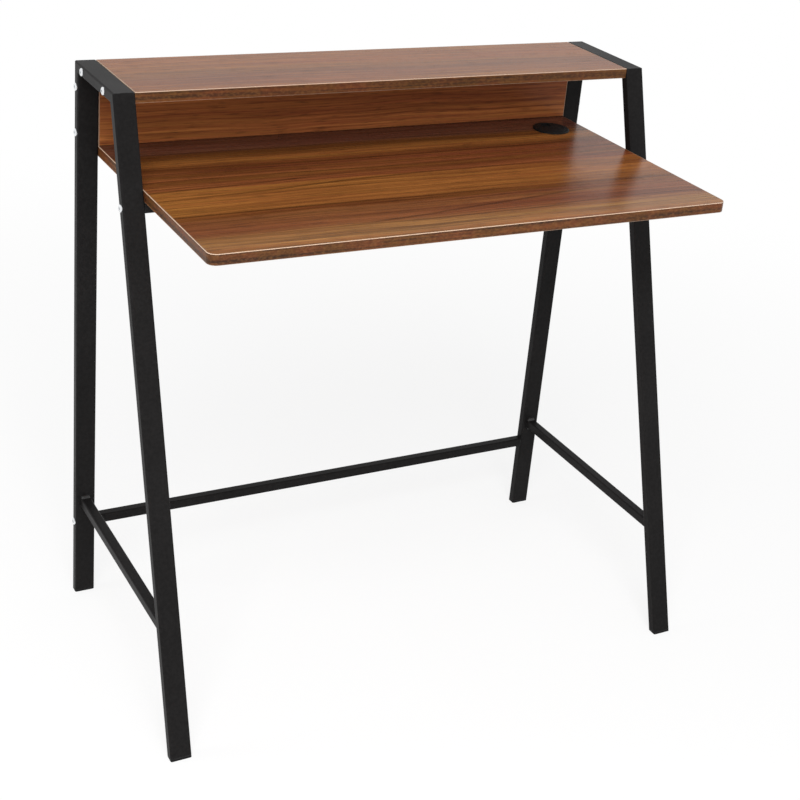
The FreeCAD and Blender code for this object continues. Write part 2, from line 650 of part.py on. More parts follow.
def grommet_cap():
    """A disc with a skirt that turns in the liner, notched at the back for cables."""
    body = new_body("grommet_cap", *GROMMET_PLACE, DESK_TOP)
    top = "grommet_flange_thick"
    disc = f"({SLEEVE_IN} - cap_clearance)"
    skirt = f"({LEDGE_IN} - cap_clearance)"
    skirt_in = f"({skirt} - cap_skirt_wall)"
    under = "cap_clearance - ledge_drop"
    foot = "-cap_skirt_depth"
    revolve(body, "XZ_Plane", "V_Axis", [
        ("0", top), (disc, top), (disc, under), (skirt, under), (skirt, foot), (skirt_in, foot),
        (skirt_in, under), ("0", under)])
    notch = new_sketch(body, "XY_Plane")
    half = "notch_width / 2"
    rectangle(notch, (f"-{half}", f"{disc} - notch_length"), (half, f"{disc} + notch_length"))
    pocket(body, notch, f"2 * (cap_skirt_depth + {top})", symmetric=True)
    height = number(top)
    round_edges(body, lambda edge: edge.BoundBox.ZMin > height - NEAR, "cap_lip")


for side, sign in SIDES:
    rear_leg(side, sign)
    front_leg(side, sign)
    top_bar(side, sign)
    side_stretcher(side, sign)
    weld_beads(side, sign)
    foot_plug(f"{side}_rear_foot_plug", sign, lambda z: REAR_LEG_FRONT, lambda z: REAR_FACE, ("0", "1"),
              "(tube_wall + plug_clearance)")
    foot_plug(f"{side}_front_foot_plug", sign, leg_front, leg_back, (LEAN, "1"),
              f"(tube_wall + plug_clearance) * {SLANT}")

cross_tube("front_cross_rail", FRONT_RAIL_Y, FRONT_RAIL_Z, screw_holes=True)
cross_tube("rear_cross_stretcher", REAR_AXIS, "rear_stretcher_height")
end_inserts("front_rail_inserts", FRONT_RAIL_Y, FRONT_RAIL_Z)
end_inserts("rear_stretcher_inserts", REAR_AXIS, "rear_stretcher_height")
desktop()
shelf()
back_board()
bolt_group("shelf_bolts", SHELF_BOLT_ROWS[0], SHELF_BOLT_Z, BOARD_BOLT_REACH, "Y_Axis", SHELF_BOLT_PITCH)
bolt_group("back_board_bolts", REAR_AXIS, BACK_BOLT_LEVELS[0], BOARD_BOLT_REACH, "Z_Axis",
           "back_bolt_spacing")
bolt_group("front_rail_bolts", FRONT_RAIL_Y, FRONT_RAIL_Z, RAIL_BOLT_REACH)
bolt_group("rear_stretcher_bolts", REAR_AXIS, "rear_stretcher_height", RAIL_BOLT_REACH)
barrel_nuts("shelf_barrel_nuts", "XY_Plane", ("0", SHELF_BOLT_ROWS[0], SHELF_LOW),
            ("0", f"{SHELF_BOLT_Z} - {SHELF_LOW}"), "Y_Axis", SHELF_BOLT_PITCH)
barrel_nuts("back_board_barrel_nuts", "XZ_Plane", ("0", BACK_OF_BOARD, BACK_BOLT_LEVELS[0]),
            (f"{REAR_AXIS} - {BACK_OF_BOARD}", "0"), "Z_Axis", "back_bolt_spacing")
screw_row("rail_screw", "rail_screws", FRONT_RAIL_Y, f"{FRONT_RAIL_Z} - rail_side / 2",
          "rail_side + rail_screw_bite", RAIL_SCREW_PITCH)
screw_row("board_screw", "back_board_screws", REAR_AXIS, f"{DESK_LOW} + board_screw_head_height",
          "board_thick - board_screw_head_height + board_screw_bite", BOARD_SCREW_PITCH)
grommet_liner()
grommet_cap()

document.recompute()
for item in document.Objects:
    if {"Invalid", "Error"} & set(item.State):
        raise RuntimeError(f"{item.Name} did not compute: {item.State}")
for body in sub_parts:
    if body.Shape.isNull() or not body.Shape.isValid():
        raise RuntimeError(f"{body.Label} has no sound shape")

os.makedirs("parts", exist_ok=True)
for body in sub_parts:
    body.Shape.exportStep(f"parts/{body.Label}.step")
    box = body.Shape.BoundBox
    print(f"{body.Label:26s} solids {len(body.Shape.Solids)} volume {body.Shape.Volume:11.1f}"
          f"  x {box.XMin:8.2f} {box.XMax:8.2f}  y {box.YMin:8.2f} {box.YMax:8.2f}"
          f"  z {box.ZMin:8.2f} {box.ZMax:8.2f}")
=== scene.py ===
"""Looks of a computer desk: a finish for every piece of the frame, rippled weld beads and a studio stage."""

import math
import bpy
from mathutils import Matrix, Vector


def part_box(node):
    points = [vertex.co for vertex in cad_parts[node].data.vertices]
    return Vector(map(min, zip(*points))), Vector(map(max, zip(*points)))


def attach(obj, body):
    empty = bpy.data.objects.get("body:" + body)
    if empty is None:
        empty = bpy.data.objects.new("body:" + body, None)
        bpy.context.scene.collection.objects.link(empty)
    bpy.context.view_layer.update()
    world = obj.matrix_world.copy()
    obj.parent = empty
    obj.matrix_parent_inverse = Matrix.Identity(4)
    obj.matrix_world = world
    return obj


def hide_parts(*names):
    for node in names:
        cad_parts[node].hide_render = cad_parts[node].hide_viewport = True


bl_info = {
    "name": "Computer Desk Looks",
    "version": (1, 0, 0),
    "blender": (4, 5, 0),
    "location": "View3D > Sidebar > Desk",
    "description": "Finishes, weld beads and studio stage of a computer desk",
    "category": "Object",
}

from collections import namedtuple

import bmesh
import bpy
from bpy.props import FloatProperty, FloatVectorProperty, IntProperty, PointerProperty
from mathutils import Matrix, Vector

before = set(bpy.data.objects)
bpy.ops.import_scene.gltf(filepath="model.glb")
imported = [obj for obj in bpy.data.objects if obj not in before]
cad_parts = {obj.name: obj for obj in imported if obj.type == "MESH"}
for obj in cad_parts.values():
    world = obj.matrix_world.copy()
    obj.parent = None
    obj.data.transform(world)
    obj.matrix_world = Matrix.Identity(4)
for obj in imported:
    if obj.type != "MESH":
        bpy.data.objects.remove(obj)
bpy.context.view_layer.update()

MM = 0.001
X_AXIS = 0
Y_AXIS = 1
Z_AXIS = 2
SIDES = ("left", "right")
DESK_BODY = "desk"

# Specular level of each finish
LAMINATE_SHINE = 0.1
BAND_SHINE = 0.18
PAINT_SHINE = 0.05
BEAD_SHINE = 0.5
PLASTIC_SHINE = 0.14

# Depth of the fine relief of each finish
PRINT_RELIEF = 0.03 * MM
BAND_RELIEF = 0.04 * MM
COAT_RELIEF = 0.06 * MM
METAL_RELIEF = 0.02 * MM
PLASTIC_RELIEF = 0.05 * MM

# How strongly that relief bends the light
WOOD_BUMP = 0.5
COAT_BUMP = 0.4
METAL_BUMP = 0.4
PLASTIC_BUMP = 0.5

# Noise: the range that most of it lies in, its middle, how rough it is, and the detail of even noise
NOISE_LOW = 0.3
NOISE_HIGH = 0.7
NOISE_MIDDLE = 0.5
NOISE_ROUGHNESS = 0.55
EVEN_DETAIL = 3.0

# Arrises: samples of the eased normal, and its agreement with the plain one on a face and on an arris
BEVEL_SAMPLES = 4
PLAIN_AGREEMENT = 0.995
ARRIS_AGREEMENT = 0.90

# Sockets of a mix node that mixes colours: its factor, both colours and the result
MIX_FACTOR = 0
MIX_FIRST = 6
MIX_SECOND = 7
MIX_COLOUR = 2

# Hue that leaves a colour as it is
PLAIN_HUE = 0.5

# Tones of the print as shares of the way across a board: front to rear, and bottom to top on the back board
DESKTOP_TONES = (
    (0.00, "honey"),
    (0.03, "gold"),
    (0.075, "gold"),
    (0.13, "red"),
    (0.25, "red"),
    (0.263, "brown"),
    (0.285, "brown"),
    (0.303, "honey"),
    (0.49, "honey"),
    (0.52, "russet"),
    (0.58, "brown"),
    (0.605, "russet"),
    (0.63, "brown"),
    (0.66, "russet"),
    (0.68, "brown"),
    (0.708, "brown"),
    (0.735, "honey"),
    (0.77, "honey"),
    (0.805, "brown"),
    (0.825, "brown"),
    # Umber: a darker band along the rear of the desktop, under the shelf
    (0.85, "umber"),
    (1.00, "umber"),
)
SHELF_TONES = (
    (0.0, "orange"),
    (0.35, "red"),
    (0.6, "orange"),
    (1.0, "orange"),
)
# Copper at the bottom of the back board is a painted glow of light bounced up from the desktop
BACK_TONES = (
    (0.0, "copper_glow"),
    (0.15, "copper_glow"),
    (0.40, "russet"),
    (1.0, "russet"),
)

# Layers of the printed grain: scale along and across the board, detail, and step of the seed
Layer = namedtuple("Layer", "along across detail seed")
SWAY = Layer(along=3.4, across=8.0, detail=1.0, seed=0)
STREAKS = Layer(along=3.2, across=170.0, detail=4.0, seed=2)
BROAD_BANDS = Layer(along=1.3, across=60.0, detail=3.0, seed=3)
VEINS = Layer(along=2.2, across=150.0, detail=2.0, seed=4)
FINE_LINES = Layer(along=5.0, across=420.0, detail=2.0, seed=5)
PORES = Layer(along=30.0, across=480.0, detail=2.0, seed=7)

# Shade that a layer gives: range of the noise, and how far its ends darken and lighten the print
Shade = namedtuple("Shade", "low high darken lighten")
STREAK_SHADE = Shade(low=0.28, high=0.72, darken=0.22, lighten=0.22)
BROAD_SHADE = Shade(low=0.25, high=0.75, darken=0.22, lighten=0.16)
VEIN_SHADE = Shade(low=0.30, high=0.52, darken=0.30, lighten=0.05)
LINE_SHADE = Shade(low=0.25, high=0.75, darken=0.29, lighten=0.25)

# Pores: the range of their noise that opens them, the shade beside and inside them, and how dull they are
PORE_LOW = 0.50
PORE_HIGH = 0.68
PORE_BESIDE = 1.07
PORE_INSIDE = 0.68
PORE_DULLNESS = 0.06

# Print: how far the grain sways in metres, how the hue drifts, the haze of the gloss, and steps of the seed
SWAY_REACH = 0.016
HUE_SCALES = (1.0, 18.0, 18.0)
HUE_DETAIL = 1.0
HUE_SEED = 9
HUE_DRIFT = 0.005
HUE_WARMTH = 0.006
HAZE_SCALE = 9.0
HAZE_SEED = 11
HAZE_DEPTH = 0.08
BOARD_SEED_STEP = 20.0

# Long dark lines of the desktop in metres: their run along X, their place across at both ends, and their bow
FigureLine = namedtuple("FigureLine", "first last start end bow width strength")
DESKTOP_FIGURE = (
    FigureLine(first=-0.45, last=0.1, start=-0.0865, end=-0.0865, bow=0.0, width=0.005, strength=0.52),
    FigureLine(first=-0.15, last=0.2, start=-0.1645, end=-0.119, bow=0.0, width=0.0045, strength=0.48),
    FigureLine(first=-0.45, last=-0.14, start=0.004, end=0.021, bow=-0.003, width=0.0045, strength=0.5),
    FigureLine(first=-0.38, last=0.0, start=-0.0265, end=0.0045, bow=-0.002, width=0.005, strength=0.5),
    FigureLine(first=0.0, last=0.3, start=0.0035, end=-0.003, bow=0.008, width=0.005, strength=0.46),
    FigureLine(first=-0.45, last=0.35, start=0.098, end=0.091, bow=-0.009, width=0.0055, strength=0.36),
    FigureLine(first=0.12, last=0.45, start=-0.166, end=-0.164, bow=0.009, width=0.0045, strength=0.38),
    FigureLine(first=-0.45, last=0.35, start=0.143, end=0.138, bow=0.0, width=0.01, strength=0.2),
)

# How far a line fades past its ends and within them
FADE_PAST = 0.08
FADE_WITHIN = 0.05

# Boards: their tones, the axis across the grain, how strong the grain is, and their drawn lines
Board = namedtuple("Board", "node tones across_axis contrast figure")
BOARDS = (
    Board("desktop_board", DESKTOP_TONES, Y_AXIS, contrast=1.0, figure=DESKTOP_FIGURE),
    Board("shelf_board", SHELF_TONES, Y_AXIS, contrast=0.5, figure=()),
    Board("back_board", BACK_TONES, Z_AXIS, contrast=0.7, figure=()),
)

# Banded edges: the axis across the band, whether only the board's ends are trimmed pale,
# how pale the line is, and the share of it that stays on the flat rim
Band = namedtuple("Band", "node thin_axis ends_only paleness flat_share")
BANDS = (
    Band("desktop_edge_band", Z_AXIS, ends_only=False, paleness=0.85, flat_share=0.35),
    Band("shelf_edge_band", Z_AXIS, ends_only=False, paleness=0.75, flat_share=0.5),
    Band("back_edge_band", Y_AXIS, ends_only=True, paleness=1.0, flat_share=1.0),
)

# Distance from the middle of the desk where the pale line begins; below nought it runs all along the band
ALL_ROUND = -1.0

# Streaks and flecks of the bands, with their scales across and along, and the shade and gloss they give
BAND_STREAK_SCALES = (230.0, 2.5)
BAND_STREAK_DETAIL = 3.0
BAND_FLECK_SCALES = (380.0, 210.0)
BAND_FLECK_DETAIL = 2.0
BAND_DRIFT_SCALE = 28.0
BAND_GOLD_NOISE = (0.42, 0.70)
BAND_GOLD_SHARE = (0.0, 0.30)
BAND_MOTTLE_NOISE = (0.25, 0.50)
BAND_MOTTLE_SHADE = (0.64, 0.80)
BAND_DRIFT_SHADE = (0.88, 1.12)
BAND_DRIFT_HUE = (0.508, 0.492)
BAND_GLOSS_NOISE = (0.2, 0.8)
BAND_GLOSS = (0.34, 0.48)
BAND_SEED = 60.0
BAND_SEED_STEP = 5

# Pale trimmed line: how ragged it is, how much of it the lower arris shows, and where a face counts as flat
NIBBLE_SCALE = 60.0
NIBBLE_SHARE = 0.4
LOWER_PALENESS = 0.28
FLAT_FACING = 0.96
ARRIS_FACING = 0.80

# Powder coat: noise scales, arrises lightened by wear and a painted highlight, and the drifting shade and
# gloss
COAT_DRIFT_SCALE = 6.0
COAT_PEEL_SCALE = 900.0
COAT_RUB_SCALE = 70.0
COAT_SPECKLE_SCALE = 240.0
COAT_ARRIS = 1.2 * MM
COAT_RUB_NOISE = (0.40, 0.70)
COAT_RUB_SHARE = (0.15, 0.65)
COAT_DRIFT_SHADE = (0.85, 1.15)
COAT_SPECKLE_SHADE = (0.84, 1.16)
COAT_GLOSS_DRIFT = 0.05

# Bare and plated metal: turning scratches, dull patches and brighter rubbed edges
SCRATCH_SCALES = (300.0, 2600.0, 2600.0)
SCRATCH_DETAIL = 2.0
PATCH_SCALE = 160.0
PATCH_SHADE = (0.84, 1.02)
PATCH_GLOSSIER = 0.06
PATCH_DULLER = 0.10
METAL_ARRIS = 0.4 * MM
METAL_RUBBING = 0.12

# Moulded plastic: spark-eroded grain, slow clouds and rubbed rims
GRAIN_SCALE = 1500.0
CLOUD_SCALE = 40.0
CLOUD_SHADE = (0.85, 1.15)
CLOUD_GLOSSIER = 0.06
CLOUD_DULLER = 0.08
PLASTIC_ARRIS = 1.0 * MM
PLASTIC_RUBBING = 0.8

# Weld beads: the round arris of the tubes, stations for each ripple, steps across, how far a crest runs ahead
# in the middle, height of the valleys, width left at the ends, and how blunt the ends are
TUBE_ARRIS = 2.5 * MM
BEAD_STATIONS = 14
BEAD_STEPS = 12
BEAD_CRESCENT = 0.45
BEAD_VALLEY = 0.55
BEAD_END_WIDTH = 0.55
BEAD_BLUNTNESS = 6

# Roughness of the beads as a share of the coat's, and the angle from which their edges stay hard
BEAD_GLOSS_SHARE = 0.6
HARD_EDGE = math.radians(40)

# Plain seams that the beads follow: points closer than the gap are one, and both ends together have six
WELD_GAP = 0.01 * MM
SEAM_POINTS = 6

# Stage in metres: the floor glows fully from its far reach on, so that it reads white there
FLOOR_HALF = 20.0
FLOOR_NEAR = 0.7
FLOOR_FAR = 2.4
FLOOR_NEAR_GLOW = 0.8
Lamp = namedtuple("Lamp", "name place target size power")
LAMPS = (
    Lamp("key_light", place=(-1.3, -2.2, 3.1), target=(0, 0, 0.6), size=2.2, power="key_power"),
    Lamp("front_light", place=(-0.3, -3.2, 1.1), target=(0, 0, 0.7), size=1.6, power="front_power"),
    Lamp("side_light", place=(-2.6, 0.5, 0.6), target=(-0.4, 0, 0.7), size=0.8, power="side_power"),
)
CAMERA_PLACE = Vector((-1.0332, -1.8051, 1.4073))
CAMERA_YAW = math.radians(30.997)
CAMERA_PITCH = math.radians(22.861)
CAMERA_ROLL = math.radians(5.805)
CAMERA_SHIFT = (-0.0401, -0.1168)
SENSOR_WIDTH = 36.0


def tone(code):
    """Linear colour of a six-digit sRGB code."""
    parts = [int(code[i : i + 2], 16) / 255 for i in (0, 2, 4)]
    return [p / 12.92 if p <= 0.04045 else ((p + 0.055) / 1.055) ** 2.4 for p in parts]


def colour_property(name, description, code):
    """Colour setting with its default given as an sRGB code."""
    return FloatVectorProperty(
        name=name, description=description, subtype="COLOR", size=3, min=0, max=1, default=tone(code)
    )


def length_property(name, description, millimetres):
    """Length setting with its default given in millimetres."""
    return FloatProperty(
        name=name, description=description, subtype="DISTANCE", unit="LENGTH", min=0, default=millimetres * MM
    )


def share_property(name, description, share):
    """Setting between nought and one."""
    return FloatProperty(name=name, description=description, subtype="FACTOR", min=0, max=1, default=share)


def power_property(name, description, watts):
    """Power of a light."""
    return FloatProperty(name=name, description=description, unit="POWER", min=0, default=watts)


class DeskWood(bpy.types.PropertyGroup):
    """Wood print of the boards and their banded edges."""

    dark: colour_property("Dark streaks", "Darkest tone of the banded edges", "3a2417")
    # Umber darkens the band along the rear of the desktop, under the shelf
    umber: colour_property("Umber", "Dull dark tone of the print", "6d4434")
    red: colour_property("Red brown", "Reddish tone of the print", "79472a")
    russet: colour_property("Russet", "Bright reddish tone of the print", "804829")
    # Copper is a painted glow that lightens the bottom of the back board
    copper_glow: colour_property("Copper", "Brightest warm tone of the print", "985832")
    brown: colour_property("Middle brown", "Tone between the streaks", "704120")
    orange: colour_property("Orange brown", "Warm tone of the print", "8c5429")
    honey: colour_property("Honey brown", "Softer warm tone of the print", "8f592b")
    gold: colour_property("Golden brown", "Lightest tone of the print", "94653a")
    pale_line: colour_property("Pale line", "Trimmed core that shows along the arris of the band", "e8c8ae")
    pale_width: length_property("Pale line width", "How far the trimmed core reaches down the edge", 0.85)
    gloss: share_property("Roughness", "Roughness of the laminate", 0.24)


class DeskMetal(bpy.types.PropertyGroup):
    """Steel frame, its welds and the hardware."""

    paint: colour_property("Powder coat", "Colour of the steel frame", "1b1a1a")
    paint_gloss: share_property("Coat roughness", "Roughness of the powder coat", 0.40)
    # Lighter tone along the arrises: partly rubbed wear, partly a painted highlight
    paint_wear_highlight: colour_property("Worn coat", "Rubbed tone along the arrises of the tubes", "4a4c4d")
    zinc: colour_property("Zinc", "Bright plating of the bolts", "f2f4f6")
    steel: colour_property("Steel", "Plain steel of nuts, inserts and screws", "a3a29e")
    bead_ripples: IntProperty(name="Bead ripples", description="Ripples of one weld bead", min=2, default=7)
    bead_bulge: length_property("Bead bulge", "How far a weld bead stands out of its corner", 1.0)
    bead_overrun: length_property("Bead overrun", "How far a bead runs over the round arris at each end", 2.0)


class DeskPlastic(bpy.types.PropertyGroup):
    """Grommet and foot plugs."""

    plastic: colour_property("Plastic", "Colour of the grommet and the plugs", "141414")
    gloss: share_property("Roughness", "Roughness of the moulded plastic", 0.58)


class DeskStage(bpy.types.PropertyGroup):
    """Floor, light and camera."""

    floor: colour_property("Floor", "Colour of the floor and the backdrop", "ffffff")
    key_power: power_property("Key light", "Power of the high soft light", 95)
    front_power: power_property("Front light", "Power of the low front light", 30)
    side_power: power_property("Side light", "Power of the low light on the left", 20)
    fill: share_property("Fill", "Strength of the even light of the room", 0.45)
    lens: FloatProperty(name="Lens", description="Focal length of the camera", unit="CAMERA", default=69.56)


def fill_socket(tree, socket, value):
    """Link a socket to an input, or set any other value on it."""
    if isinstance(value, bpy.types.NodeSocket):
        tree.links.new(value, socket)
    else:
        socket.default_value = value


def put(tree, kind, inputs=None, **attributes):
    """Add one shader node with its inputs and attributes."""
    node = tree.nodes.new("ShaderNode" + kind)
    for name, value in attributes.items():
        setattr(node, name, value)
    for name, value in (inputs or {}).items():
        fill_socket(tree, node.inputs[name], value)
    return node


def wire(tree, shader, **inputs):
    """Fill inputs of the principled shader; an underscore in a name stands for a space."""
    for name, value in inputs.items():
        fill_socket(tree, shader.inputs[name.replace("_", " ")], value)


def calc(tree, operation, *values):
    """Socket with the result of one math step."""
    return put(tree, "Math", dict(enumerate(values)), operation=operation).outputs[0]


def product(tree, factors):
    """Socket with the product of several sockets."""
    result = factors[0]
    for factor in factors[1:]:
        result = calc(tree, "MULTIPLY", result, factor)
    return result


def remap(tree, value, from_min, from_max, to_min=0.0, to_max=1.0):
    """Socket that eases a value from one range into another."""
    inputs = {"Value": value, "From Min": from_min, "From Max": from_max, "To Min": to_min, "To Max": to_max}
    return put(tree, "MapRange", inputs, interpolation_type="SMOOTHSTEP").outputs["Result"]


def spread(tree, noise, low, high):
    """Socket that eases the usual range of a noise into another."""
    return remap(tree, noise, NOISE_LOW, NOISE_HIGH, low, high)


def blend(tree, factor, first, second):
    """Colour socket that mixes two colours."""
    inputs = {MIX_FACTOR: factor, MIX_FIRST: first, MIX_SECOND: second}
    return put(tree, "Mix", inputs, data_type="RGBA", blend_type="MIX").outputs[MIX_COLOUR]


def opaque(colour):
    """Colour setting as the four values a shader socket takes."""
    return (*colour, 1.0)


def stretched_noise(tree, parts, scales, detail, seed):
    """Noise stretched by its own scale along each of three coordinates."""
    scaled = [calc(tree, "MULTIPLY", part, scale) for part, scale in zip(parts, scales)]
    vector = put(tree, "CombineXYZ", dict(enumerate(scaled)))
    inputs = {"Vector": vector.outputs[0], "W": seed, "Scale": 1.0}
    inputs.update({"Detail": detail, "Roughness": NOISE_ROUGHNESS})
    return put(tree, "TexNoise", inputs, noise_dimensions="4D").outputs["Fac"]


def even_noise(tree, parts, scale, seed):
    """Noise of one scale all ways."""
    return stretched_noise(tree, parts, (scale, scale, scale), EVEN_DETAIL, seed)


def shaded(tree, colour, value, hue=PLAIN_HUE):
    """Colour socket made lighter or darker, and a little redder or yellower."""
    return put(tree, "HueSaturation", {"Hue": hue, "Value": value, "Color": colour}).outputs["Color"]


def object_parts(tree, output="Object"):
    """X, Y and Z of the surface's place in metres, or of its normal, in the desk's own frame."""
    vector = put(tree, "TexCoord").outputs[output]
    return list(put(tree, "SeparateXYZ", {0: vector}).outputs)


def start_material(name):
    """New node material, its tree and its principled shader."""
    material = bpy.data.materials.new(name)
    material.use_nodes = True
    return material, material.node_tree, material.node_tree.nodes["Principled BSDF"]


def bump(tree, height, distance, strength):
    """Normal socket roughened by a height."""
    return put(tree, "Bump", {"Height": height, "Distance": distance, "Strength": strength}).outputs["Normal"]


def edge_mask(tree, radius):
    """One along the arrises of a piece, nought on its faces."""
    eased = put(tree, "Bevel", {"Radius": radius}, samples=BEVEL_SAMPLES).outputs["Normal"]
    plain = put(tree, "NewGeometry").outputs["Normal"]
    agreement = put(tree, "VectorMath", {0: eased, 1: plain}, operation="DOT_PRODUCT").outputs["Value"]
    return remap(tree, agreement, PLAIN_AGREEMENT, ARRIS_AGREEMENT)


def grain_layer(tree, along, across, layer, seed):
    """Noise of one layer of the printed grain."""
    scales = (layer.along, layer.across, 0.0)
    return stretched_noise(tree, (along, across, across), scales, layer.detail, seed + layer.seed)


def grain_shade(tree, noise, shade, contrast=1.0):
    """Light and dark that one layer of the grain gives to the print."""
    darkest = 1 - shade.darken * contrast
    lightest = 1 + shade.lighten * contrast
    return remap(tree, noise, shade.low, shade.high, darkest, lightest)


def tone_ramp(tree, place, span, tones, wood):
    """Colour socket with the tones of a print laid out over the span of its board."""
    share = put(tree, "MapRange", {"Value": place, "From Min": span[0], "From Max": span[1]})
    ramp = put(tree, "ValToRGB", {"Fac": share.outputs["Result"]})
    elements = ramp.color_ramp.elements
    while len(elements) < len(tones):
        elements.new(1.0)
    for element, (position, setting) in zip(elements, tones):
        element.position = position
        element.color = opaque(getattr(wood, setting))
    return ramp.outputs["Color"]


def figure_line(tree, along, across, line):
    """Mask of one long dark line of the figure, bowed between its ends and faded out past them."""
    middle = (line.first + line.last) / 2
    half = (line.last - line.first) / 2
    level = (line.start + line.end) / 2
    slope = (line.end - line.start) / (2 * half)
    chord = calc(tree, "MULTIPLY_ADD", along, slope, level - slope * middle)
    share = calc(tree, "MULTIPLY_ADD", along, 1 / half, -middle / half)
    bow = calc(tree, "MULTIPLY_ADD", calc(tree, "MULTIPLY", share, share), -line.bow, line.bow)
    centre = calc(tree, "ADD", chord, bow)
    distance = calc(tree, "ABSOLUTE", calc(tree, "SUBTRACT", across, centre))
    body = remap(tree, distance, line.width, 0.0)
    fade_in = remap(tree, along, line.first - FADE_PAST, line.first + FADE_WITHIN)
    fade_out = remap(tree, along, line.last + FADE_PAST, line.last - FADE_WITHIN)
    return product(tree, (fade_in, fade_out, body, line.strength))


def laminate(board, wood, span, seed):
    """Printed wood laminate; the grain runs along X and the tones change across the board."""
    material, tree, shader = start_material(board.node)
    parts = object_parts(tree)
    along = parts[X_AXIS]
    across = parts[board.across_axis]
    sway = grain_layer(tree, along, across, SWAY, seed)
    swayed = calc(tree, "MULTIPLY_ADD", calc(tree, "SUBTRACT", sway, NOISE_MIDDLE), SWAY_REACH, across)
    bands = grain_layer(tree, along, swayed, BROAD_BANDS, seed)
    veins = grain_layer(tree, along, swayed, VEINS, seed)
    streaks = grain_layer(tree, along, swayed, STREAKS, seed)
    lines = grain_layer(tree, along, swayed, FINE_LINES, seed)
    pores = remap(tree, grain_layer(tree, along, swayed, PORES, seed), PORE_LOW, PORE_HIGH)
    shades = [
        grain_shade(tree, bands, BROAD_SHADE, board.contrast),
        grain_shade(tree, veins, VEIN_SHADE, board.contrast),
        grain_shade(tree, streaks, STREAK_SHADE),
        grain_shade(tree, lines, LINE_SHADE),
        remap(tree, pores, 0.0, 1.0, PORE_BESIDE, PORE_INSIDE),
    ]
    for line in board.figure:
        shades.append(calc(tree, "SUBTRACT", 1.0, figure_line(tree, along, swayed, line)))
    drift = stretched_noise(tree, parts, HUE_SCALES, HUE_DETAIL, seed + HUE_SEED)
    drifting = spread(tree, drift, PLAIN_HUE - HUE_DRIFT, PLAIN_HUE + HUE_DRIFT)
    hue = calc(tree, "ADD", drifting, spread(tree, streaks, -HUE_WARMTH, HUE_WARMTH))
    tones = tone_ramp(tree, swayed, span, board.tones, wood)
    colour = shaded(tree, tones, product(tree, shades), hue)
    haze = even_noise(tree, parts, HAZE_SCALE, seed + HAZE_SEED)
    gloss = calc(tree, "MULTIPLY_ADD", calc(tree, "SUBTRACT", haze, NOISE_MIDDLE), HAZE_DEPTH, wood.gloss)
    gloss = calc(tree, "MULTIPLY_ADD", pores, PORE_DULLNESS, gloss)
    relief = bump(tree, calc(tree, "SUBTRACT", lines, pores), PRINT_RELIEF, WOOD_BUMP)
    wire(tree, shader, Base_Color=colour, Roughness=gloss, Normal=relief)
    wire(tree, shader, Specular_IOR_Level=LAMINATE_SHINE)
    return material


def band_noise(tree, parts, thin_axis, scales, detail, seed):
    """Noise of a banded edge, with one scale across the band and another along it."""
    across, along = scales
    three = [across if axis == thin_axis else along for axis in range(3)]
    return stretched_noise(tree, parts, three, detail, seed)


def trimmed_line(tree, parts, band, width, span, trimmed_from, seed):
    """Mask of the pale trimmed core along the arrises of a band, stronger on the upper than on the lower."""
    lowest, highest = span
    thin = parts[band.thin_axis]
    nibble = calc(tree, "MULTIPLY", even_noise(tree, parts, NIBBLE_SCALE, seed), NIBBLE_SHARE * width)
    upper = remap(tree, calc(tree, "ADD", thin, nibble), highest - width, highest - 0.5 * width)
    lower = remap(tree, calc(tree, "SUBTRACT", thin, nibble), lowest + width, lowest + 0.5 * width)
    pale = calc(tree, "MAXIMUM", upper, calc(tree, "MULTIPLY", lower, LOWER_PALENESS))
    flatness = calc(tree, "ABSOLUTE", object_parts(tree, "Normal")[band.thin_axis])
    outward = remap(tree, flatness, FLAT_FACING, ARRIS_FACING, band.flat_share, 1.0)
    from_middle = calc(tree, "ABSOLUTE", parts[X_AXIS])
    ends = remap(tree, from_middle, trimmed_from, trimmed_from + MM)
    return product(tree, (pale, outward, ends, band.paleness))


def edge_band(band, wood, span, trimmed_from, seed):
    """Banded edge: streaks that follow the edge, with the trimmed core showing pale along its arrises."""
    material, tree, shader = start_material(band.node)
    parts = object_parts(tree)
    streaks = band_noise(tree, parts, band.thin_axis, BAND_STREAK_SCALES, BAND_STREAK_DETAIL, seed)
    flecks = band_noise(tree, parts, band.thin_axis, BAND_FLECK_SCALES, BAND_FLECK_DETAIL, seed + 2)
    drift = even_noise(tree, parts, BAND_DRIFT_SCALE, seed + 6)
    body = blend(tree, spread(tree, streaks, 0.0, 1.0), opaque(wood.dark), opaque(wood.brown))
    body = blend(tree, remap(tree, flecks, *BAND_GOLD_NOISE, *BAND_GOLD_SHARE), body, opaque(wood.gold))
    mottle = remap(tree, flecks, *BAND_MOTTLE_NOISE, *BAND_MOTTLE_SHADE)
    shade = calc(tree, "MULTIPLY", mottle, spread(tree, drift, *BAND_DRIFT_SHADE))
    body = shaded(tree, body, shade, spread(tree, drift, *BAND_DRIFT_HUE))
    pale = trimmed_line(tree, parts, band, wood.pale_width, span, trimmed_from, seed + 4)
    colour = blend(tree, pale, body, opaque(wood.pale_line))
    gloss = remap(tree, flecks, *BAND_GLOSS_NOISE, *BAND_GLOSS)
    relief = bump(tree, streaks, BAND_RELIEF, WOOD_BUMP)
    wire(tree, shader, Base_Color=colour, Roughness=gloss, Normal=relief)
    wire(tree, shader, Specular_IOR_Level=BAND_SHINE)
    return material


